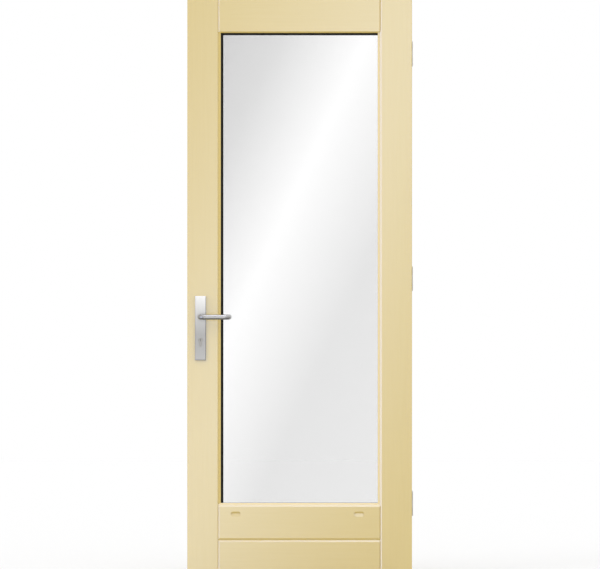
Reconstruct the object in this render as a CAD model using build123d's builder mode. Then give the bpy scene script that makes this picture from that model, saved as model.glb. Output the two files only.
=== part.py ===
from build123d import *
import os
from math import radians, tan

os.makedirs("parts", exist_ok=True)

# Driving dimensions, in millimetres. X runs from the lock edge to the hinge edge,
# the outside face looks along -Y, and Z is up. The origin lies on the back of the middle
# hinge's fixed flap, level with the middle of the door's thickness.

# Door leaf and its frame members
door_width = 830.0
door_height = 2115.0
door_thickness = 54.0
lock_stile_width = 113.5
hinge_stile_width = 118.4
top_rail_height = 120.0
upper_bottom_rail_height = 130.0
lower_bottom_rail_height = 117.0
lock_stile_bevel = 2.0
hinge_stile_bevel = 7.0
rail_end_bevel_left = 5.0
rail_end_bevel_right = 2.0
top_rail_bevel = 1.5
bottom_rail_bevel = 7.0
bevel_angle = 30.0
outer_arris = 1.8
outer_arris_angle = 45.0
tenon_length = 60.0
tenon_thickness = 18.0
tenon_shoulder = 22.0
tenon_clearance = 0.2

# Drain slots in the face of the upper bottom rail
slot_width = 36.0
slot_height = 19.0
slot_depth = 5.0
slot_top_slope = 6.9
slot_height_on_door = 213.0
slot_from_lock_stile = 65.0
slot_from_hinge_stile = 77.0

# Double glazing, depths measured back from the outside face
pane_thickness = 4.0
pane_space = 16.0
pane_depth = 13.0
pane_edge_clearance = 1.5
spacer_width = 5.0
spacer_clearance = 0.1
outer_gasket_thickness = 3.0
inner_gasket_thickness = 2.0
bead_set_back = 4.0
bead_nose = 1.0
bead_clearance = 0.1
outside_bead_left = 10.1
outside_bead_right = 8.1
outside_bead_top = 4.1
outside_bead_bottom = 7.0
gasket_show_left = 9.4
gasket_show_top = 8.4
gasket_set_back = 0.4
inside_bead_side = 7.6
inside_bead_level = 6.7

# Handle plates, levers and spindle
backset = 49.0
lever_height = 941.0
plate_width = 40.0
plate_height = 237.0
plate_thickness = 10.0
plate_above_lever = 77.5
plate_bevel = 2.0
lever_radius = 9.4
lever_length = 104.0
lever_standoff = 47.0
lever_bend_radius = 16.0
lever_end_gap = 13.0
lever_end_bevel = 2.5
lever_neck_clearance = 0.06
spindle_side = 8.0
spindle_clearance = 0.1
spindle_insert = 25.0
spindle_bore_clearance = 5.2

# Lock, with its cylinder below the lever
cylinder_below_lever = 85.0
cylinder_head_radius = 8.5
cylinder_web = 10.0
cylinder_drop = 24.5
cylinder_proud = 2.0
cylinder_clearance = 0.3
plug_radius = 6.5
plug_length = 30.0
plug_clearance = 0.05
keyway_width = 2.2
keyway_height = 8.5
keyway_depth = 24.0
forend_width = 22.0
forend_height = 235.0
forend_thickness = 3.0
forend_set_in = 0.5
lock_case_width = 16.0
lock_case_height = 165.0
lock_case_depth = 76.0
lock_clearance = 0.5
case_above_lever = 45.0
forend_above_case = 35.0
bolt_thickness = 12.0
bolt_length = 32.0
latch_bolt_height = 28.0
latch_slope = 8.0
latch_slope_angle = 40.0
latch_below_lever = 12.0
dead_bolt_height = 34.0
dead_below_lever = 70.0
bolt_clearance = 0.3

# Butt hinges, on the inside edge of the door
hanging_gap = 2.0
flap_thickness = 2.5
flap_depth = 34.0
hinge_height = 89.0
knuckle_count = 3
knuckle_radius = 6.0
knuckle_gap = 0.3
knuckle_off_face = 0.5
pin_radius = 3.5
pin_clearance = 0.05
pin_head_radius = 5.2
pin_head_height = 2.5
top_hinge_drop = 200.0
bottom_hinge_height = 250.0
screw_hole_radius = 2.6
screw_spacing_y = 16.0
screw_spacing_z = 60.0
housing_clearance = 0.2

# Places worked out from the driving dimensions
hinge_edge_x = -(flap_thickness + hanging_gap)
lock_edge_x = hinge_edge_x - door_width
outside_y = -door_thickness / 2
inside_y = door_thickness / 2
bottom_z = -(bottom_hinge_height + door_height - top_hinge_drop) / 2
top_z = bottom_z + door_height
opening_left = lock_edge_x + lock_stile_width
opening_right = hinge_edge_x - hinge_stile_width
opening_top = top_z - top_rail_height
rails_joint_z = bottom_z + lower_bottom_rail_height
opening_bottom = rails_joint_z + upper_bottom_rail_height
opening_middle_x = (opening_left + opening_right) / 2
opening_middle_z = (opening_top + opening_bottom) / 2
opening_width = opening_right - opening_left
opening_height = opening_top - opening_bottom
lever_x = lock_edge_x + backset
lever_z = bottom_z + lever_height
cylinder_z = lever_z - cylinder_below_lever
forend_x = lock_edge_x + forend_set_in
plate_z = lever_z + plate_above_lever - plate_height / 2
pin_x = -knuckle_radius
pin_y = inside_y + knuckle_off_face + knuckle_radius
hinge_levels = {
    "top": top_z - top_hinge_drop,
    "middle": (top_z - top_hinge_drop + bottom_z + bottom_hinge_height) / 2,
    "bottom": bottom_z + bottom_hinge_height,
}


def save(piece, name):
    """Label the finished piece and write it under its own name."""
    piece.part.label = name
    export_step(piece.part, f"parts/{name}.step")


def box_between(low, high, mode=Mode.ADD):
    """Add or cut the box that spans two opposite corners."""
    size = [high[i] - low[i] for i in range(3)]
    centre = tuple((high[i] + low[i]) / 2 for i in range(3))
    with Locations(centre):
        Box(*size, mode=mode)


def bevel_arrises(piece, along, across, side, width, angle=bevel_angle):
    """Bevel one arris of each face, where side picks the low or the high one across the piece."""
    for face_place in (0, -1):
        face = piece.faces().filter_by(Plane.XZ).sort_by(Axis.Y)[face_place]
        arris = face.edges().filter_by(along).sort_by(across)[side]
        chamfer(arris, width, width * tan(radians(angle)), reference=face)


# Rails: each has a stub tenon at both ends, and bevelled arrises that make the V-joints
rails = {
    "top_rail": (opening_top, top_z, top_rail_bevel, outer_arris),
    "upper_bottom_rail": (rails_joint_z, opening_bottom, bottom_rail_bevel, bottom_rail_bevel),
    "lower_bottom_rail": (bottom_z, rails_joint_z, outer_arris, bottom_rail_bevel),
}


def tenon_boxes(low_z, high_z, clearance, mode):
    """Add a rail's two tenons, or cut their mortises with a clearance all round."""
    half = tenon_thickness / 2 + clearance
    reach = tenon_length + clearance
    low = low_z + tenon_shoulder - clearance
    high = high_z - tenon_shoulder + clearance
    box_between((opening_left - reach, -half, low), (opening_left, half, high), mode)
    box_between((opening_right, -half, low), (opening_right + reach, half, high), mode)


def slot_outline(centre_x):
    """Draw one drain slot on the outside face, with fully rounded ends."""
    with BuildSketch(Plane.XZ.offset(-outside_y)) as outline:
        with Locations((centre_x, bottom_z + slot_height_on_door)):
            SlotOverall(slot_width, slot_height)
    return outline.sketch


def cut_drain_slot(centre_x):
    """Cut a slot with a short slope in from its top and a long slope out to its foot."""
    slot_z = bottom_z + slot_height_on_door
    with BuildPart(mode=Mode.PRIVATE) as pocket:
        add(extrude(slot_outline(centre_x), slot_depth, dir=(0, 1, 0), mode=Mode.PRIVATE))
        with BuildSketch(Plane.YZ.offset(centre_x - slot_width)):
            with BuildLine():
                Polyline(
                    (outside_y, slot_z - slot_height / 2),
                    (outside_y + slot_depth, slot_z + slot_height / 2 - slot_top_slope),
                    (outside_y, slot_z + slot_height / 2),
                    close=True,
                )
            make_face()
        extrude(amount=2 * slot_width, mode=Mode.INTERSECT)
    add(pocket.part, mode=Mode.SUBTRACT)


for rail_name, (low_z, high_z, low_bevel, high_bevel) in rails.items():
    with BuildPart() as rail:
        box_between((opening_left, outside_y, low_z), (opening_right, inside_y, high_z))
        bevel_arrises(rail, Axis.Z, Axis.X, 0, rail_end_bevel_left)
        bevel_arrises(rail, Axis.Z, Axis.X, -1, rail_end_bevel_right)
        bevel_arrises(rail, Axis.X, Axis.Z, 0, low_bevel)
        bevel_arrises(rail, Axis.X, Axis.Z, -1, high_bevel)
        tenon_boxes(low_z, high_z, 0, Mode.ADD)
        if rail_name == "upper_bottom_rail":
            cut_drain_slot(opening_left + slot_from_lock_stile)
            cut_drain_slot(opening_right - slot_from_hinge_stile)
    save(rail, rail_name)


# Lock profile, shared by the cylinder and every hole that it passes through
def cylinder_profile(clearance):
    """Draw the cylinder's keyhole outline round its plug axis, in the X-Z plane."""
    half_web = cylinder_web / 2 + clearance
    Circle(cylinder_head_radius + clearance)
    with Locations((0, -(cylinder_drop - half_web) / 2)):
        Rectangle(2 * half_web, cylinder_drop - half_web)
    with Locations((0, -(cylinder_drop - cylinder_web / 2))):
        Circle(half_web)


def cylinder_solid(low_y, high_y, clearance, mode=Mode.ADD):
    """Extrude the keyhole outline between two depths through the door."""
    plane = Plane(origin=(lever_x, high_y, cylinder_z), x_dir=(1, 0, 0), z_dir=(0, -1, 0))
    with BuildSketch(plane) as outline:
        cylinder_profile(clearance)
    extrude(outline.sketch, amount=high_y - low_y, mode=mode)


def round_bar(radius, low_y, high_y, centre_z, mode=Mode.ADD):
    """Add or cut a round bar through the door, on the lever's upright line."""
    plane = Plane(origin=(lever_x, high_y, centre_z), x_dir=(1, 0, 0), z_dir=(0, -1, 0))
    with BuildSketch(plane) as outline:
        Circle(radius)
    extrude(outline.sketch, amount=high_y - low_y, mode=mode)


spindle_bore_radius = spindle_side / 2 ** 0.5 + spindle_bore_clearance
case_top = lever_z + case_above_lever
case_low = (forend_x + forend_thickness, -lock_case_width / 2, case_top - lock_case_height)
case_high = (case_low[0] + lock_case_depth, lock_case_width / 2, case_top)
forend_top = case_top + forend_above_case
forend_z = forend_top - forend_height / 2

# Lock stile, mortised for the rails and cut for the lock
with BuildPart() as lock_stile:
    box_between((lock_edge_x, outside_y, bottom_z), (opening_left, inside_y, top_z))
    bevel_arrises(lock_stile, Axis.Z, Axis.X, -1, lock_stile_bevel)
    bevel_arrises(lock_stile, Axis.Z, Axis.X, 0, outer_arris, outer_arris_angle)
    for low_z, high_z, low_bevel, high_bevel in rails.values():
        tenon_boxes(low_z, high_z, tenon_clearance, Mode.SUBTRACT)
    round_bar(spindle_bore_radius, outside_y, inside_y, lever_z, Mode.SUBTRACT)
    cylinder_solid(outside_y, inside_y, lock_clearance, Mode.SUBTRACT)
    box_between(
        (lock_edge_x, case_low[1] - lock_clearance, case_low[2] - lock_clearance),
        (case_high[0] + lock_clearance, case_high[1] + lock_clearance, case_high[2] + lock_clearance),
        Mode.SUBTRACT,
    )
    with BuildSketch(Plane(origin=(lock_edge_x, 0, forend_z), x_dir=(0, 0, 1), z_dir=(1, 0, 0))):
        SlotOverall(forend_height + 2 * bolt_clearance, forend_width + 2 * bolt_clearance)
    extrude(amount=forend_set_in + forend_thickness, mode=Mode.SUBTRACT)
save(lock_stile, "lock_stile")


# Hinge stile, mortised for the rails and housed for the hinge flaps
with BuildPart() as hinge_stile:
    box_between((opening_right, outside_y, bottom_z), (hinge_edge_x, inside_y, top_z))
    bevel_arrises(hinge_stile, Axis.Z, Axis.X, 0, hinge_stile_bevel)
    bevel_arrises(hinge_stile, Axis.Z, Axis.X, -1, outer_arris, outer_arris_angle)
    for low_z, high_z, low_bevel, high_bevel in rails.values():
        tenon_boxes(low_z, high_z, tenon_clearance, Mode.SUBTRACT)
    for hinge_z in hinge_levels.values():
        half = hinge_height / 2 + housing_clearance
        box_between(
            (hinge_edge_x - flap_thickness, inside_y - flap_depth - housing_clearance, hinge_z - half),
            (hinge_edge_x, inside_y, hinge_z + half),
            Mode.SUBTRACT,
        )
save(hinge_stile, "hinge_stile")


# Glazing beads: mitred strips, bevelled from the frame's bevel down to the gasket
def sight_corners(left, right, low, high):
    """Give the corners of the opening, moved in by the four margins."""
    return {
        "low_left": (opening_left + left, opening_bottom + low),
        "low_right": (opening_right - right, opening_bottom + low),
        "high_left": (opening_left + left, opening_top - high),
        "high_right": (opening_right - right, opening_top - high),
    }


bead_sides = {
    "left": ("low_left", "high_left"),
    "right": ("high_right", "low_right"),
    "top": ("high_left", "high_right"),
    "bottom": ("low_right", "low_left"),
}


def bead(name, side, outer, inner, arris_y, nose_y, back_y):
    """Make one mitred bead between the frame's edge and its own sight line."""
    start, end = bead_sides[side]
    upright = side in ("left", "right")
    outline = [outer[start], outer[end], inner[end], inner[start]]
    edge = outer[start][0] if upright else outer[start][1]
    sight = inner[start][0] if upright else inner[start][1]
    with BuildPart() as strip:
        with BuildSketch(Plane.XZ):
            with BuildLine():
                Polyline(*outline, close=True)
            make_face()
        extrude(amount=door_thickness, both=True)
        section = [(edge, arris_y), (sight, nose_y), (sight, back_y), (edge, back_y)]
        if upright:
            plane = Plane(origin=(0, 0, opening_middle_z), x_dir=(1, 0, 0), z_dir=(0, 0, 1))
            points = [(across, depth) for across, depth in section]
            length = opening_height
        else:
            plane = Plane(origin=(opening_middle_x, 0, 0), x_dir=(0, 1, 0), z_dir=(1, 0, 0))
            points = [(depth, across) for across, depth in section]
            length = opening_width
        with BuildSketch(plane):
            with BuildLine():
                Polyline(*points, close=True)
            make_face()
        extrude(amount=length, both=True, mode=Mode.INTERSECT)
    save(strip, name)


pane_outer_y = outside_y + pane_depth
pane_inner_y = pane_outer_y + 2 * pane_thickness + pane_space
outer_bead_back_y = pane_outer_y - outer_gasket_thickness
inner_bead_back_y = pane_inner_y + inner_gasket_thickness
bead_edge = sight_corners(bead_clearance, bead_clearance, bead_clearance, bead_clearance)
outside_sight = sight_corners(
    outside_bead_left, outside_bead_right, outside_bead_bottom, outside_bead_top
)
inside_sight = sight_corners(
    inside_bead_side, inside_bead_side, inside_bead_level, inside_bead_level
)

for side in bead_sides:
    bead(
        f"outside_bead_{side}", side, bead_edge, outside_sight,
        outside_y + bead_set_back, outer_bead_back_y - bead_nose, outer_bead_back_y,
    )
    bead(
        f"inside_bead_{side}", side, bead_edge, inside_sight,
        inside_y - bead_set_back, inner_bead_back_y + bead_nose, inner_bead_back_y,
    )


# Glazing: two panes on a spacer, between two gaskets
def ring(name, outer, inner, low_y, high_y):
    """Make a flat frame between two rectangles, from one depth to another."""
    plane = Plane(origin=(0, high_y, 0), x_dir=(1, 0, 0), z_dir=(0, -1, 0))
    with BuildPart() as frame:
        with BuildSketch(plane):
            for corners, mode in ((outer, Mode.ADD), (inner, Mode.SUBTRACT)):
                if corners is None:
                    continue
                with BuildLine():
                    Polyline(
                        corners["low_left"], corners["low_right"],
                        corners["high_right"], corners["high_left"], close=True,
                    )
                make_face(mode=mode)
        extrude(amount=high_y - low_y)
    save(frame, name)


pane_edge = sight_corners(*[pane_edge_clearance] * 4)
spacer_inside = sight_corners(*[pane_edge_clearance + spacer_width] * 4)
outer_gasket_inside = sight_corners(
    outside_bead_left + gasket_show_left, outside_bead_right - gasket_set_back,
    outside_bead_bottom - gasket_set_back, outside_bead_top + gasket_show_top,
)
pane_back_y = pane_outer_y + pane_thickness
ring("outer_pane", pane_edge, None, pane_outer_y, pane_back_y)
ring("glazing_spacer", pane_edge, spacer_inside, pane_back_y, pane_back_y + pane_space)
ring("inner_pane", pane_edge, None, pane_inner_y - pane_thickness, pane_inner_y)
ring("outer_gasket", pane_edge, outer_gasket_inside, outer_bead_back_y, pane_outer_y)
ring("inner_gasket", pane_edge, inside_sight, pane_inner_y, inner_bead_back_y)


# Handle set: a plate and a bent lever on each face, joined by one square spindle
def handle_side(side, face_y, outward):
    """Make the plate and the lever on one face, where outward is the sign of its Y axis."""
    front_y = face_y + outward * plate_thickness
    with BuildPart() as plate:
        with Locations((lever_x, (face_y + front_y) / 2, plate_z)):
            Box(plate_width, plate_thickness, plate_height)
        front = plate.faces().sort_by(Axis.Y)[0 if outward < 0 else -1]
        chamfer(front.edges(), plate_bevel)
        low_y, high_y = sorted((face_y, front_y))
        round_bar(lever_radius + lever_neck_clearance, low_y, high_y, lever_z, Mode.SUBTRACT)
        cylinder_solid(low_y, high_y, cylinder_clearance, Mode.SUBTRACT)
    save(plate, f"{side}_plate")

    bar_y = front_y + outward * lever_standoff
    end_y = front_y + outward * lever_end_gap
    with BuildPart() as lever:
        with BuildLine() as route:
            FilletPolyline(
                (lever_x, face_y, lever_z),
                (lever_x, bar_y, lever_z),
                (lever_x + lever_length, bar_y, lever_z),
                (lever_x + lever_length, end_y, lever_z),
                radius=lever_bend_radius,
            )
        with BuildSketch(Plane(origin=route.line @ 0, z_dir=route.line % 0)):
            Circle(lever_radius)
        sweep()
        end_face = lever.faces().filter_by(Plane.XZ).sort_by(Axis.X)[-1]
        chamfer(end_face.edges(), lever_end_bevel)
        half = spindle_side / 2 + spindle_clearance
        low_y, high_y = sorted((face_y, face_y + outward * (spindle_insert + spindle_clearance)))
        box_between(
            (lever_x - half, low_y, lever_z - half),
            (lever_x + half, high_y, lever_z + half),
            Mode.SUBTRACT,
        )
    save(lever, f"{side}_lever")


handle_side("outside", outside_y, -1)
handle_side("inside", inside_y, 1)

with BuildPart() as spindle:
    with Locations((lever_x, 0, lever_z)):
        Box(spindle_side, door_thickness + 2 * spindle_insert, spindle_side)
save(spindle, "spindle")


# Cylinder: a keyhole-shaped body with a turning plug in each end
cylinder_end_y = inside_y + plate_thickness + cylinder_proud
with BuildPart() as cylinder_body:
    cylinder_solid(-cylinder_end_y, cylinder_end_y, 0)
    for low_y, high_y in (
        (-cylinder_end_y, plug_length - cylinder_end_y),
        (cylinder_end_y - plug_length, cylinder_end_y),
    ):
        round_bar(plug_radius + plug_clearance, low_y, high_y, cylinder_z, Mode.SUBTRACT)
save(cylinder_body, "cylinder_body")

for side, outward in (("outside", -1), ("inside", 1)):
    end_y = outward * cylinder_end_y
    low_y, high_y = sorted((end_y, end_y - outward * plug_length))
    key_low_y, key_high_y = sorted((end_y, end_y - outward * keyway_depth))
    with BuildPart() as plug:
        round_bar(plug_radius, low_y, high_y, cylinder_z)
        box_between(
            (lever_x - keyway_width / 2, key_low_y, cylinder_z - keyway_height / 2),
            (lever_x + keyway_width / 2, key_high_y, cylinder_z + keyway_height / 2),
            Mode.SUBTRACT,
        )
    save(plug, f"{side}_plug")


# Lock: the case behind its forend, with the latch and the dead bolt drawn back
bolts = {
    "latch_bolt": (lever_z - latch_below_lever, latch_bolt_height),
    "dead_bolt": (lever_z - dead_below_lever, dead_bolt_height),
}


def bolt_box(centre_z, height, clearance, mode=Mode.ADD):
    """Add a bolt that ends level with the forend, or cut the way that it slides in."""
    half_y = bolt_thickness / 2 + clearance
    half_z = height / 2 + clearance
    box_between(
        (forend_x, -half_y, centre_z - half_z),
        (forend_x + bolt_length + clearance, half_y, centre_z + half_z),
        mode,
    )


with BuildPart() as lock_case:
    box_between(case_low, case_high)
    round_bar(spindle_bore_radius, case_low[1], case_high[1], lever_z, Mode.SUBTRACT)
    cylinder_solid(case_low[1], case_high[1], cylinder_clearance, Mode.SUBTRACT)
    for centre_z, height in bolts.values():
        bolt_box(centre_z, height, bolt_clearance, Mode.SUBTRACT)
save(lock_case, "lock_case")

with BuildPart() as forend:
    with BuildSketch(Plane(origin=(forend_x, 0, forend_z), x_dir=(0, 0, 1), z_dir=(1, 0, 0))):
        SlotOverall(forend_height, forend_width)
    extrude(amount=forend_thickness)
    for centre_z, height in bolts.values():
        bolt_box(centre_z, height, bolt_clearance, Mode.SUBTRACT)
save(forend, "forend")

for bolt_name, (centre_z, height) in bolts.items():
    with BuildPart() as bolt:
        bolt_box(centre_z, height, 0)
        if bolt_name == "latch_bolt":
            nose = bolt.faces().sort_by(Axis.X)[0]
            slope_run = latch_slope * tan(radians(latch_slope_angle))
            chamfer(nose.edges().sort_by(Axis.Y)[0], latch_slope, slope_run, reference=nose)
    save(bolt, bolt_name)


# Hinges: a fixed flap, a flap let into the door's edge, and the pin between their knuckles
def knuckle_spans(hinge_z, first):
    """List the height of every other knuckle, counted from the foot of the hinge."""
    pitch = hinge_height / knuckle_count
    foot = hinge_z - hinge_height / 2
    return [
        (foot + i * pitch + knuckle_gap / 2, foot + (i + 1) * pitch - knuckle_gap / 2)
        for i in range(first, knuckle_count, 2)
    ]


def hinge_flap(name, hinge_z, low_x, first):
    """Make one flap with its knuckles, where low_x is the side of the plate nearer the lock."""
    high_x = low_x + flap_thickness
    half = hinge_height / 2
    with BuildPart() as flap:
        box_between((low_x, inside_y - flap_depth, hinge_z - half), (high_x, inside_y, hinge_z + half))
        for low_z, high_z in knuckle_spans(hinge_z, first):
            box_between((low_x, inside_y, low_z), (high_x, pin_y, high_z))
            with BuildSketch(Plane.XY.offset(low_z)):
                with Locations((pin_x, pin_y)):
                    Circle(knuckle_radius)
            extrude(amount=high_z - low_z)
        with Locations((pin_x, pin_y, hinge_z)):
            Cylinder(pin_radius + pin_clearance, 2 * hinge_height, mode=Mode.SUBTRACT)
        screw_plane = Plane(
            origin=(high_x if low_x < -flap_thickness else low_x, inside_y - flap_depth / 2, hinge_z),
            x_dir=(0, 1, 0),
            z_dir=(1 if low_x < -flap_thickness else -1, 0, 0),
        )
        with Locations(screw_plane):
            with GridLocations(screw_spacing_y, screw_spacing_z, 2, 2):
                Hole(screw_hole_radius, depth=flap_thickness)
    save(flap, name)


for level, hinge_z in hinge_levels.items():
    hinge_flap(f"frame_flap_{level}", hinge_z, -flap_thickness, 0)
    hinge_flap(f"door_flap_{level}", hinge_z, hinge_edge_x - flap_thickness, 1)
    with BuildPart() as pin:
        with BuildSketch(Plane.XY.offset(hinge_z - hinge_height / 2)):
            with Locations((pin_x, pin_y)):
                Circle(pin_radius)
        extrude(amount=hinge_height)
        for end_z in (hinge_z - hinge_height / 2 - pin_head_height, hinge_z + hinge_height / 2):
            with BuildSketch(Plane.XY.offset(end_z)):
                with Locations((pin_x, pin_y)):
                    Circle(pin_head_radius)
            extrude(amount=pin_head_height)
    save(pin, f"hinge_pin_{level}")
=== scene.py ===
import math

import bmesh
import bpy
from mathutils import Color, Matrix, Vector


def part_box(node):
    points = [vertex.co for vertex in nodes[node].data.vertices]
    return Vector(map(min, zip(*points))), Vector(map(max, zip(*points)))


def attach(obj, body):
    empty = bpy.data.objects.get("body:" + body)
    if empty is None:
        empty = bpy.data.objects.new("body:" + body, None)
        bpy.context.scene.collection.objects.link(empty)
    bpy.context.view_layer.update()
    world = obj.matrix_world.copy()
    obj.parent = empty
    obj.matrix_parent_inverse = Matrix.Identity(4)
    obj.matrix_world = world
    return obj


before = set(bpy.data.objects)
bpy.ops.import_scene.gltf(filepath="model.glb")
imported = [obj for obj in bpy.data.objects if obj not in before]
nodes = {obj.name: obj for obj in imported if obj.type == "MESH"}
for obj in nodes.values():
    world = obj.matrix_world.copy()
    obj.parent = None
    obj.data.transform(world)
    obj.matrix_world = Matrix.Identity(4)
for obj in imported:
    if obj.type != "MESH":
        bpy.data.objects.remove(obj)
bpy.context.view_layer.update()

LEVELS = ("top", "middle", "bottom")
FACES = ("outside", "inside")
SIDES = ("left", "right")
ENDS = ("top", "bottom")

# The photograph's frame, and where the door stands in it
IMAGE_WIDTH = 600
IMAGE_HEIGHT = 569
LOCK_EDGE_PX = 187.3
HINGE_EDGE_PX = 412.0
BOTTOM_EDGE_PX = 571.8
LENS_MM = 300.0
SENSOR_MM = 36.0
VIEW_REACH = 200.0

lock_stile_low, lock_stile_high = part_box("lock_stile")
outside_y = lock_stile_low.y
inside_y = lock_stile_high.y
door_left = lock_stile_low.x
door_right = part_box("hinge_stile")[1].x
door_bottom = lock_stile_low.z
metres_per_px = (door_right - door_left) / (HINGE_EDGE_PX - LOCK_EDGE_PX)
camera_distance = LENS_MM * IMAGE_WIDTH * metres_per_px / SENSOR_MM


def in_front(distance):
    """Give the point at a distance in front of the door, on the photograph's centre line."""
    x = door_left + (IMAGE_WIDTH / 2 - LOCK_EDGE_PX) * metres_per_px
    z = door_bottom + (BOTTOM_EDGE_PX - IMAGE_HEIGHT / 2) * metres_per_px
    return (x, outside_y - distance, z)


def from_centre(point_px):
    """Give how far right of and above the photograph's centre a pixel lies, in pixels."""
    return Vector((point_px[0] - IMAGE_WIDTH / 2, IMAGE_HEIGHT / 2 - point_px[1]))


def add_object(name, data):
    """Put an object with this mesh, light or camera in the scene."""
    item = bpy.data.objects.new(name, data)
    bpy.context.scene.collection.objects.link(item)
    return item


def add_camera():
    """Put a long lens straight on, where the door fills the frame as in the photograph."""
    data = bpy.data.cameras.new("camera")
    data.lens = LENS_MM
    data.sensor_width = SENSOR_MM
    data.clip_end = VIEW_REACH
    camera = add_object("camera", data)
    camera.location = in_front(camera_distance)
    camera.rotation_euler = (math.radians(90), 0, 0)
    bpy.context.scene.camera = camera


# Shader helpers
def new_material(name):
    """Make a node material and give its tree and its Principled shader."""
    material = bpy.data.materials.new(name)
    material.use_nodes = True
    tree = material.node_tree
    return material, tree, tree.nodes["Principled BSDF"]


def link(tree, start, end):
    """Join two sockets."""
    tree.links.new(start, end)


def set_input(tree, socket, value):
    """Feed a socket from another socket, a number or a colour."""
    if isinstance(value, bpy.types.NodeSocket):
        link(tree, value, socket)
    elif isinstance(value, (int, float)):
        socket.default_value = value
    else:
        socket.default_value = (*value, 1.0)


def noise(tree, scale, stretch=(1.0, 1.0, 1.0), detail=3.0):
    """Make noise in object space, stretched by a factor along each axis."""
    coords = tree.nodes.new("ShaderNodeTexCoord")
    mapping = tree.nodes.new("ShaderNodeMapping")
    mapping.inputs["Scale"].default_value = stretch
    texture = tree.nodes.new("ShaderNodeTexNoise")
    texture.inputs["Scale"].default_value = scale
    texture.inputs["Detail"].default_value = detail
    link(tree, coords.outputs["Object"], mapping.inputs["Vector"])
    link(tree, mapping.outputs["Vector"], texture.inputs["Vector"])
    return texture.outputs["Fac"]


def ramp(tree, factor, stops):
    """Turn a factor into a colour through a ramp of (position, colour) stops."""
    node = tree.nodes.new("ShaderNodeValToRGB")
    elements = node.color_ramp.elements
    while len(elements) < len(stops):
        elements.new(1.0)
    for element, (position, colour) in zip(elements, stops):
        element.position = position
        element.color = (*colour, 1.0)
    link(tree, factor, node.inputs["Fac"])
    return node.outputs["Color"]


def mix(tree, factor, first, second, blend="MIX"):
    """Mix two colours, given as sockets or plain colours."""
    node = tree.nodes.new("ShaderNodeMix")
    node.data_type = "RGBA"
    node.blend_type = blend
    set_input(tree, node.inputs["Factor"], factor)
    set_input(tree, node.inputs["A"], first)
    set_input(tree, node.inputs["B"], second)
    return node.outputs["Result"]


def larger(tree, first, second):
    """Give the larger of two numbers, given as sockets or plain numbers."""
    node = tree.nodes.new("ShaderNodeMath")
    node.operation = "MAXIMUM"
    set_input(tree, node.inputs[0], first)
    set_input(tree, node.inputs[1], second)
    return node.outputs["Value"]


def along(tree, coordinates, direction):
    """Measure how far a point or a direction lies along a direction."""
    coords = tree.nodes.new("ShaderNodeTexCoord")
    node = tree.nodes.new("ShaderNodeVectorMath")
    node.operation = "DOT_PRODUCT"
    node.inputs[1].default_value = direction
    link(tree, coords.outputs[coordinates], node.inputs[0])
    return node.outputs["Value"]


def spread(tree, value, low, high):
    """Stretch the numbers from low to high over 0 to 1."""
    node = tree.nodes.new("ShaderNodeMapRange")
    node.inputs["From Min"].default_value = low
    node.inputs["From Max"].default_value = high
    link(tree, value, node.inputs["Value"])
    return node.outputs["Result"]


def bump(tree, height, distance, normal=None):
    """Raise a surface by a height map, over a normal that is already there."""
    node = tree.nodes.new("ShaderNodeBump")
    node.inputs["Distance"].default_value = distance
    link(tree, height, node.inputs["Height"])
    if normal is not None:
        link(tree, normal, node.inputs["Normal"])
    return node.outputs["Normal"]


def srgb(red, green, blue):
    """Turn 0 to 255 display values into linear ones."""
    return tuple(Color((red / 255, green / 255, blue / 255)).from_srgb_to_scene_linear())


def grey(level):
    """Make a neutral colour of this level."""
    return (level, level, level)


def scaled(colour, factor):
    """Make a colour lighter or darker."""
    return tuple(factor * value for value in colour)


# The scale of noise along each axis, so that its streaks run along an upright or a level piece
UPRIGHT = (1.0, 1.0, 0.03)
LEVEL = (0.03, 1.0, 1.0)

# Paint on the wood: brush marks, pores along the member, and a slow change over the leaf
PAINT = srgb(219, 192, 101)
PAINT_DEEP = srgb(214, 185, 91)
PAINT_ROUGHNESS = 0.22
PAINT_IOR = 2.5
BEAD_IOR = 1.95
PAINT_SHINE = (0.51, 0.67, 1.0, 1.0)
STROKE_SCALE = 240.0
STROKE_DETAIL = 4.0
STROKE_DEEP_AT = 0.35
STROKE_PLAIN_AT = 0.62
STROKE_SHARE = 0.25
STROKE_DEPTH = 0.00002
CLOUD_SCALE = 3.0
CLOUD_DETAIL = 2.0
CLOUD_SHARE = 0.08
PORE_SCALE = 900.0
PORE_DETAIL = 2.0
PORE_DEPTH = 0.00001

# Metals: brush lines that go from a darker share of the colour to the whole of it
LINE_SCALE = 700.0
LINE_SHADE = 0.93
LINE_DEPTH = 0.00001
SATIN = (1.0, 0.995, 0.985)
SATIN_ROUGHNESS = 0.3
NICKEL = (0.3, 0.293, 0.281)
NICKEL_ROUGHNESS = 0.3
NICKEL_LINES = (1.0, 0.05, 1.0)
STEEL = (0.62, 0.61, 0.59)
STEEL_ROUGHNESS = 0.35
STEEL_LINES = (1.0, 1.0, 0.05)
ZINC = (0.83, 0.83, 0.82)
ZINC_ROUGHNESS = 0.4
ZINC_LINES = (1.0, 1.0, 0.1)
ZINC_METALLIC = 0.35

# Painted reflection and shade on the satin metal, as levels of its base colour: the plate from its
# foot to its head, the lever along its grip
PLATE_PAINTED_LIGHT = [(0.0, 0.37), (0.3, 0.33), (0.4, 0.33), (0.6, 0.42), (0.8, 0.53), (1.0, 0.69)]
LEVER_PAINTED_LIGHT = [(0.0, 0.29), (0.1, 0.3), (0.2, 0.37), (0.85, 0.39), (1.0, 0.5)]

# Gaskets and panes
RUBBER = (0.006, 0.0055, 0.005)
RUBBER_ROUGHNESS = 0.8
RUBBER_SPECULAR = 0.2
RUBBER_GRAIN_SCALE = 1500.0
RUBBER_GRAIN_SHADE = 0.6
RUBBER_GRAIN_DEPTH = 0.00003

GLASS_COLOUR = grey(0.85)
GLASS_ALPHA = 0.113

# Where noise has turned a colour fully dark and fully light
NOISE_DARK = 0.3
NOISE_LIGHT = 0.7


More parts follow.
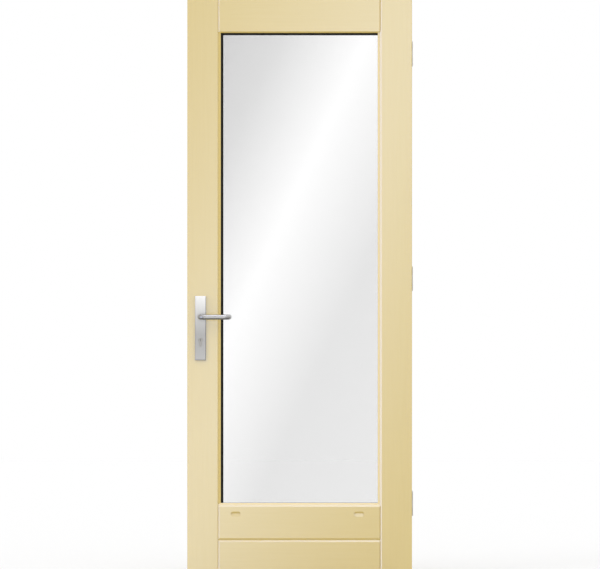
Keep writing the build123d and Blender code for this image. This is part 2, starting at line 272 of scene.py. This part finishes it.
def varied(tree, factor, colour, shade):
    """Vary a colour between a darker share of it and the whole of it."""
    return ramp(tree, factor, [(NOISE_DARK, scaled(colour, shade)), (NOISE_LIGHT, colour)])


def paint(name, grain, ior):
    """Satin paint on hardwood, with faint brush marks and pores along the member."""
    material, tree, shader = new_material(name)
    strokes = noise(tree, STROKE_SCALE, grain, STROKE_DETAIL)
    clouds = noise(tree, CLOUD_SCALE, detail=CLOUD_DETAIL)
    pores = noise(tree, PORE_SCALE, grain, PORE_DETAIL)
    stroke_colour = ramp(tree, strokes, [(STROKE_DEEP_AT, PAINT_DEEP), (STROKE_PLAIN_AT, PAINT)])
    brushed = mix(tree, STROKE_SHARE, PAINT, stroke_colour)
    colour = mix(tree, clouds, brushed, mix(tree, CLOUD_SHARE, brushed, PAINT_DEEP))
    normal = bump(tree, pores, PORE_DEPTH, bump(tree, strokes, STROKE_DEPTH))
    link(tree, colour, shader.inputs["Base Color"])
    link(tree, normal, shader.inputs["Normal"])
    shader.inputs["Roughness"].default_value = PAINT_ROUGHNESS
    shader.inputs["IOR"].default_value = ior
    shader.inputs["Specular Tint"].default_value = PAINT_SHINE
    return material


def metal(name, colour, roughness, streaks, painted_light=None, metallic=1.0):
    """Satin metal with fine brush lines.

    It may carry painted reflection and shade along a direction, by stops between a low and a high
    place.
    """
    material, tree, shader = new_material(name)
    lines = noise(tree, LINE_SCALE, streaks)
    brushed = varied(tree, lines, colour, LINE_SHADE)
    if painted_light is not None:
        direction, low, high, stops = painted_light
        # Painted reflection and shade: the base colour is multiplied by grey levels along the
        # direction
        place = spread(tree, along(tree, "Object", direction), low, high)
        shade = ramp(tree, place, [(at, grey(level)) for at, level in stops])
        brushed = mix(tree, 1.0, brushed, shade, "MULTIPLY")
    link(tree, brushed, shader.inputs["Base Color"])
    link(tree, bump(tree, lines, LINE_DEPTH), shader.inputs["Normal"])
    shader.inputs["Metallic"].default_value = metallic
    shader.inputs["Roughness"].default_value = roughness
    return material


def rubber(name):
    """Matt black glazing gasket."""
    material, tree, shader = new_material(name)
    grain = noise(tree, RUBBER_GRAIN_SCALE)
    colour = varied(tree, grain, RUBBER, RUBBER_GRAIN_SHADE)
    link(tree, colour, shader.inputs["Base Color"])
    link(tree, bump(tree, grain, RUBBER_GRAIN_DEPTH), shader.inputs["Normal"])
    shader.inputs["Roughness"].default_value = RUBBER_ROUGHNESS
    shader.inputs["Specular IOR Level"].default_value = RUBBER_SPECULAR
    return material


def glass(name):
    """Clear pane whose faces each hold back about a ninth of the light and mirror as much."""
    material, tree, shader = new_material(name)
    set_input(tree, shader.inputs["Base Color"], GLASS_COLOUR)
    shader.inputs["Alpha"].default_value = GLASS_ALPHA
    shader.inputs["Metallic"].default_value = 1.0
    shader.inputs["Roughness"].default_value = 0.0
    return material


def dress(material, names):
    """Give one material to each named CAD node."""
    for name in names:
        mesh = nodes[name].data
        mesh.materials.clear()
        mesh.materials.append(material)


def named(pattern, *word_lists):
    """Fill a name pattern with every choice of words."""
    names = [pattern]
    for words in word_lists:
        names = [name.replace("*", word, 1) for name in names for word in words]
    return names


def dress_wood():
    """Paint the stiles, rails and beads along their length."""
    dress(paint("paint_upright", UPRIGHT, PAINT_IOR), ["lock_stile", "hinge_stile"])
    dress(paint("paint_level", LEVEL, PAINT_IOR),
          ["top_rail", "upper_bottom_rail", "lower_bottom_rail"])
    dress(paint("bead_paint_upright", UPRIGHT, BEAD_IOR), named("*_bead_*", FACES, SIDES))
    dress(paint("bead_paint_level", LEVEL, BEAD_IOR), named("*_bead_*", FACES, ENDS))


def dress_glazing():
    """Give the panes glass, and the gaskets and spacer rubber."""
    dress(rubber("black_rubber"), ["outer_gasket", "inner_gasket", "glazing_spacer"])
    dress(glass("clear_glass"), ["outer_pane", "inner_pane"])


def dress_handles():
    """Give the plates and levers satin metal, with painted reflection and shade along the plate and
    along the grip.
    """
    plate_low, plate_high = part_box("outside_plate")
    lever_low, lever_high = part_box("outside_lever")
    plate_painted_light = ((0, 0, 1), plate_low.z, plate_high.z, PLATE_PAINTED_LIGHT)
    lever_painted_light = ((1, 0, 0), lever_low.x, lever_high.x, LEVER_PAINTED_LIGHT)
    dress(metal("satin_plate", SATIN, SATIN_ROUGHNESS, UPRIGHT, plate_painted_light),
          named("*_plate", FACES))
    dress(metal("satin_lever", SATIN, SATIN_ROUGHNESS, LEVEL, lever_painted_light),
          named("*_lever", FACES))


def dress_lock_and_hinges():
    """Give the lock steel and nickel, and the hinges zinc."""
    dress(steel, ["forend", "lock_case", "spindle"])
    dress(metal("lock_nickel", NICKEL, NICKEL_ROUGHNESS, NICKEL_LINES),
          ["cylinder_body", "latch_bolt", "dead_bolt"] + named("*_plug", FACES))
    dress(metal("zinc_lacquer", ZINC, ZINC_ROUGHNESS, ZINC_LINES, metallic=ZINC_METALLIC),
          named("frame_flap_*", LEVELS) + named("door_flap_*", LEVELS) + named("hinge_pin_*", LEVELS))


steel = metal("brushed_steel", STEEL, STEEL_ROUGHNESS, STEEL_LINES)
dress_wood()
dress_glazing()
dress_handles()
dress_lock_and_hinges()


# Screws: domed heads with a cross recess, in the door's flaps, the forend and the inside plate
SCREW_SIDES = 24
SCREW_SHOULDER_SHARE = 0.93
SCREW_SHOULDER_LEVEL = 0.55
SCREW_TOP_SHARE = 0.72
SCREW_CROSS_REACH = 0.55
SCREW_CROSS_WIDTH = 0.13
SCREW_CROSS_DEPTH = 0.8

FLAP_SCREW_RADIUS = 0.0042
FLAP_SCREW_HEIGHT = 0.0006
FLAP_SCREW_FROM_FACE = 0.017
FLAP_SCREW_SPACING_Y = 0.016
FLAP_SCREW_SPACING_Z = 0.060
FOREND_SCREW_RADIUS = 0.004
FOREND_SCREW_HEIGHT = 0.0004
FOREND_SCREW_FROM_END = 0.009
PLATE_SCREW_RADIUS = 0.0036
PLATE_SCREW_HEIGHT = 0.0009
PLATE_SCREW_FROM_END = 0.013


def loop_pairs(loop):
    """Pair each item of a closed loop with the next."""
    return zip(loop, loop[1:] + loop[:1])


def screw_head(mesh, centre, outward, radius, height):
    """Add one head to a mesh: a dome from its seat to a flat top with a cross cut in it."""
    def circle(share, level):
        """Make a ring of points round the head's own Z axis."""
        turns = [2 * math.pi * i / SCREW_SIDES for i in range(SCREW_SIDES)]
        return [mesh.verts.new((share * radius * math.cos(turn),
                                share * radius * math.sin(turn), level)) for turn in turns]

    def cross(level):
        """Make the cross's twelve corners, three to each arm."""
        reach = SCREW_CROSS_REACH * radius
        width = SCREW_CROSS_WIDTH * radius
        arm = [(reach, -width), (reach, width), (width, width)]
        points = []
        for quarter in range(4):
            turn = Matrix.Rotation(quarter * math.pi / 2, 2)
            points += [turn @ Vector(point) for point in arm]
        return [mesh.verts.new((point.x, point.y, level)) for point in points]

    def wall(first, second):
        """Join two loops of as many points with a band of faces."""
        for (a, b), (c, d) in zip(loop_pairs(first), loop_pairs(second)):
            mesh.faces.new((a, b, d, c))

    first_vertex = len(mesh.verts)
    seat = circle(1.0, 0.0)
    shoulder = circle(SCREW_SHOULDER_SHARE, SCREW_SHOULDER_LEVEL * height)
    top = circle(SCREW_TOP_SHARE, height)
    rim = cross(height)
    floor = cross(height - SCREW_CROSS_DEPTH * height)
    wall(seat, shoulder)
    wall(shoulder, top)
    wall(rim, floor)
    mesh.faces.new(floor)
    pairs = [*loop_pairs(top), *loop_pairs(rim)]
    edges = [mesh.edges.get(pair) or mesh.edges.new(pair) for pair in pairs]
    bmesh.ops.triangle_fill(mesh, edges=edges, use_beauty=True)
    mesh.verts.ensure_lookup_table()
    place = Matrix.Translation(centre) @ outward.to_track_quat("Z", "Y").to_matrix().to_4x4()
    for vertex in mesh.verts[first_vertex:]:
        vertex.co = place @ vertex.co


def add_screws(name, places, outward, radius, height):
    """Make one piece of several like screw heads on the door."""
    mesh = bmesh.new()
    for centre in places:
        screw_head(mesh, Vector(centre), Vector(outward), radius, height)
    bmesh.ops.recalc_face_normals(mesh, faces=mesh.faces)
    data = bpy.data.meshes.new(name)
    mesh.to_mesh(data)
    mesh.free()
    data.materials.append(steel)
    piece = add_object(name, data)
    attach(piece, "door")


def add_flap_screws():
    """Add four screws to each of the door's own flaps."""
    centre_y = inside_y - FLAP_SCREW_FROM_FACE
    across = FLAP_SCREW_SPACING_Y / 2
    up = FLAP_SCREW_SPACING_Z / 2
    for level in LEVELS:
        low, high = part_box(f"door_flap_{level}")
        centre_z = (low.z + high.z) / 2
        places = [(door_right, centre_y + i * across, centre_z + j * up)
                  for i in (-1, 1) for j in (-1, 1)]
        add_screws(f"flap_screws_{level}", places, (1, 0, 0), FLAP_SCREW_RADIUS, FLAP_SCREW_HEIGHT)


def add_forend_screws():
    """Add a screw near each end of the forend."""
    low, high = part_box("forend")
    heights = (low.z + FOREND_SCREW_FROM_END, high.z - FOREND_SCREW_FROM_END)
    places = [(low.x, 0, z) for z in heights]
    add_screws("forend_screws", places, (-1, 0, 0), FOREND_SCREW_RADIUS, FOREND_SCREW_HEIGHT)


def add_plate_screws():
    """Add a screw near each end of the inside plate."""
    low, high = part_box("inside_plate")
    heights = (low.z + PLATE_SCREW_FROM_END, high.z - PLATE_SCREW_FROM_END)
    places = [((low.x + high.x) / 2, high.y, z) for z in heights]
    add_screws("plate_screws", places, (0, 1, 0), PLATE_SCREW_RADIUS, PLATE_SCREW_HEIGHT)


add_flap_screws()
add_forend_screws()
add_plate_screws()


# Light: a soft key from the upper left and an even fill
KEY_DIRECTION = Vector((-0.62, -0.52, 0.59))
KEY_STRENGTH = 0.37
KEY_ANGLE = 26.0
FILL = grey(1.15)
WHITE = grey(1.0)

# How bright the studio looks in a reflection: from underfoot to overhead, with a bright
# softbox to the left and one above, each given by its direction and its light
STUDIO_AXIS = (-0.2, 0.0, 0.98)
STUDIO_SHADES = [(0.0, 0.35), (0.2, 0.38), (0.35, 0.8), (0.5, 0.95), (0.8, 1.3), (1.0, 1.4)]
STUDIO_PEAK = 1.4
SOFTBOXES = [((-0.866, -0.5, 0.0), (2.3, 2.45, 3.2)), ((0.0, -0.5, 0.866), (3.7, 3.7, 4.2))]
SOFTBOX_EDGE = 0.9
SOFTBOX_CORE = 0.97


def add_key():
    """Add the key light, which shows in no reflection."""
    data = bpy.data.lights.new("key", "SUN")
    data.energy = KEY_STRENGTH
    data.angle = math.radians(KEY_ANGLE)
    lamp = add_object("key", data)
    lamp.rotation_euler = KEY_DIRECTION.to_track_quat("Z", "Y").to_euler()
    lamp.visible_glossy = False


def add_world():
    """White behind the door, a studio with softboxes in reflections, even fill elsewhere."""
    world = bpy.data.worlds.new("world")
    world.use_nodes = True
    bpy.context.scene.world = world
    tree = world.node_tree
    path = tree.nodes.new("ShaderNodeLightPath")
    place = spread(tree, along(tree, "Generated", STUDIO_AXIS), -1.0, 1.0)
    stops = [(at, grey(level / STUDIO_PEAK)) for at, level in STUDIO_SHADES]
    studio = mix(tree, 1.0, ramp(tree, place, stops), grey(STUDIO_PEAK), "MULTIPLY")
    for direction, light in SOFTBOXES:
        cover = spread(tree, along(tree, "Generated", direction), SOFTBOX_EDGE, SOFTBOX_CORE)
        studio = mix(tree, cover, studio, light)
    seen = larger(tree, path.outputs["Is Camera Ray"], path.outputs["Is Transmission Ray"])
    colour = mix(tree, path.outputs["Is Glossy Ray"], FILL, studio)
    colour = mix(tree, seen, colour, WHITE)
    link(tree, colour, tree.nodes["Background"].inputs["Color"])


def add_board(name, centre, half_width, half_height, material):
    """Add a flat board to the stage, given by the vectors from its centre to two of its sides."""
    mesh = bpy.data.meshes.new(name)
    corners = [(-1, -1), (1, -1), (1, 1), (-1, 1)]
    mesh.from_pydata([i * half_width + j * half_height for i, j in corners], [], [(0, 1, 2, 3)])
    mesh.materials.append(material)
    board = add_object(name, mesh)
    board.location = centre
    return board


# The card that the outside face mirrors. Its light follows a slanting ridge, and each list
# gives the light at a distance from that ridge, in the photograph's pixels: clear glass shows
# one, and satin surfaces show the other.
CARD_DISTANCE = 2.0
CARD_HALF_WIDTH = 1.5
CARD_HALF_HEIGHT = 2.2
RIDGE_TOP_PX = (363.7, 46.0)
RIDGE_FOOT_PX = (233.6, 326.0)
SHEEN_REACH_PX = 300.0
GLASS_SHEEN_PEAK = 1.27
GLASS_SHEEN = [(-130, 0.0), (-80, 0.22), (0, 1.0), (95, 0.39), (190, 0.48)]
SATIN_SHEEN_PEAK = 2.0
SATIN_SHEEN = [(-200, 0.38), (-70, 0.71), (10, 0.98), (60, 0.96), (115, 0.72), (180, 0.51),
               (250, 0.38)]


def sheen(tree, distance, stops, peak):
    """Make the card's light from the distance to the ridge."""
    places = [((at + SHEEN_REACH_PX) / (2 * SHEEN_REACH_PX), grey(level)) for at, level in stops]
    node = tree.nodes.new("ShaderNodeEmission")
    node.inputs["Strength"].default_value = peak
    link(tree, ramp(tree, distance, places), node.inputs["Color"])
    return node.outputs["Emission"]


def card_material():
    """Light the card along its ridge, with one sheen for clear glass and one for satin surfaces."""
    foot = from_centre(RIDGE_FOOT_PX)
    top = from_centre(RIDGE_TOP_PX)
    run = (top - foot).normalized()
    across = Vector((run.y, -run.x))
    middle = top.dot(across)

    # A point on the door is mirrored on the card this much further from the card's centre
    card_metres_per_px = metres_per_px * (1 + CARD_DISTANCE / camera_distance)

    material = bpy.data.materials.new("reflection_card")
    material.use_nodes = True
    tree = material.node_tree
    tree.nodes.clear()
    distance = spread(tree, along(tree, "Object", (across.x, 0, across.y)),
                      (middle - SHEEN_REACH_PX) * card_metres_per_px,
                      (middle + SHEEN_REACH_PX) * card_metres_per_px)
    path = tree.nodes.new("ShaderNodeLightPath")
    choice = tree.nodes.new("ShaderNodeMixShader")
    output = tree.nodes.new("ShaderNodeOutputMaterial")
    link(tree, path.outputs["Is Singular Ray"], choice.inputs[0])
    link(tree, sheen(tree, distance, SATIN_SHEEN, SATIN_SHEEN_PEAK), choice.inputs[1])
    link(tree, sheen(tree, distance, GLASS_SHEEN, GLASS_SHEEN_PEAK), choice.inputs[2])
    link(tree, choice.outputs["Shader"], output.inputs["Surface"])
    return material


def add_card():
    """Add the card in front of the door, which only reflections show."""
    card = add_board("reflection_card", in_front(CARD_DISTANCE), Vector((CARD_HALF_WIDTH, 0, 0)),
                     Vector((0, 0, CARD_HALF_HEIGHT)), card_material())
    card.visible_camera = False
    card.visible_diffuse = False
    card.visible_transmission = False
    card.visible_shadow = False


# Floor: how far it lies under the door, and how far it runs each way
FLOOR_DROP = 0.012
FLOOR_HALF = 12.0
FLOOR_COLOUR = grey(0.82)


def floor_material():
    """Pale floor with no shine."""
    material, tree, shader = new_material("floor")
    set_input(tree, shader.inputs["Base Color"], FLOOR_COLOUR)
    shader.inputs["Roughness"].default_value = 1.0
    shader.inputs["Specular IOR Level"].default_value = 0.0
    return material


def add_floor():
    """Add the pale floor just under the door, which takes its shadow and shows in no reflection."""
    floor = add_board("floor", (0, 0, door_bottom - FLOOR_DROP), Vector((FLOOR_HALF, 0, 0)),
                      Vector((0, FLOOR_HALF, 0)), floor_material())
    floor.visible_glossy = False


add_camera()
add_key()
add_world()
add_card()
add_floor()

bpy.context.scene.view_settings.view_transform = "Standard"
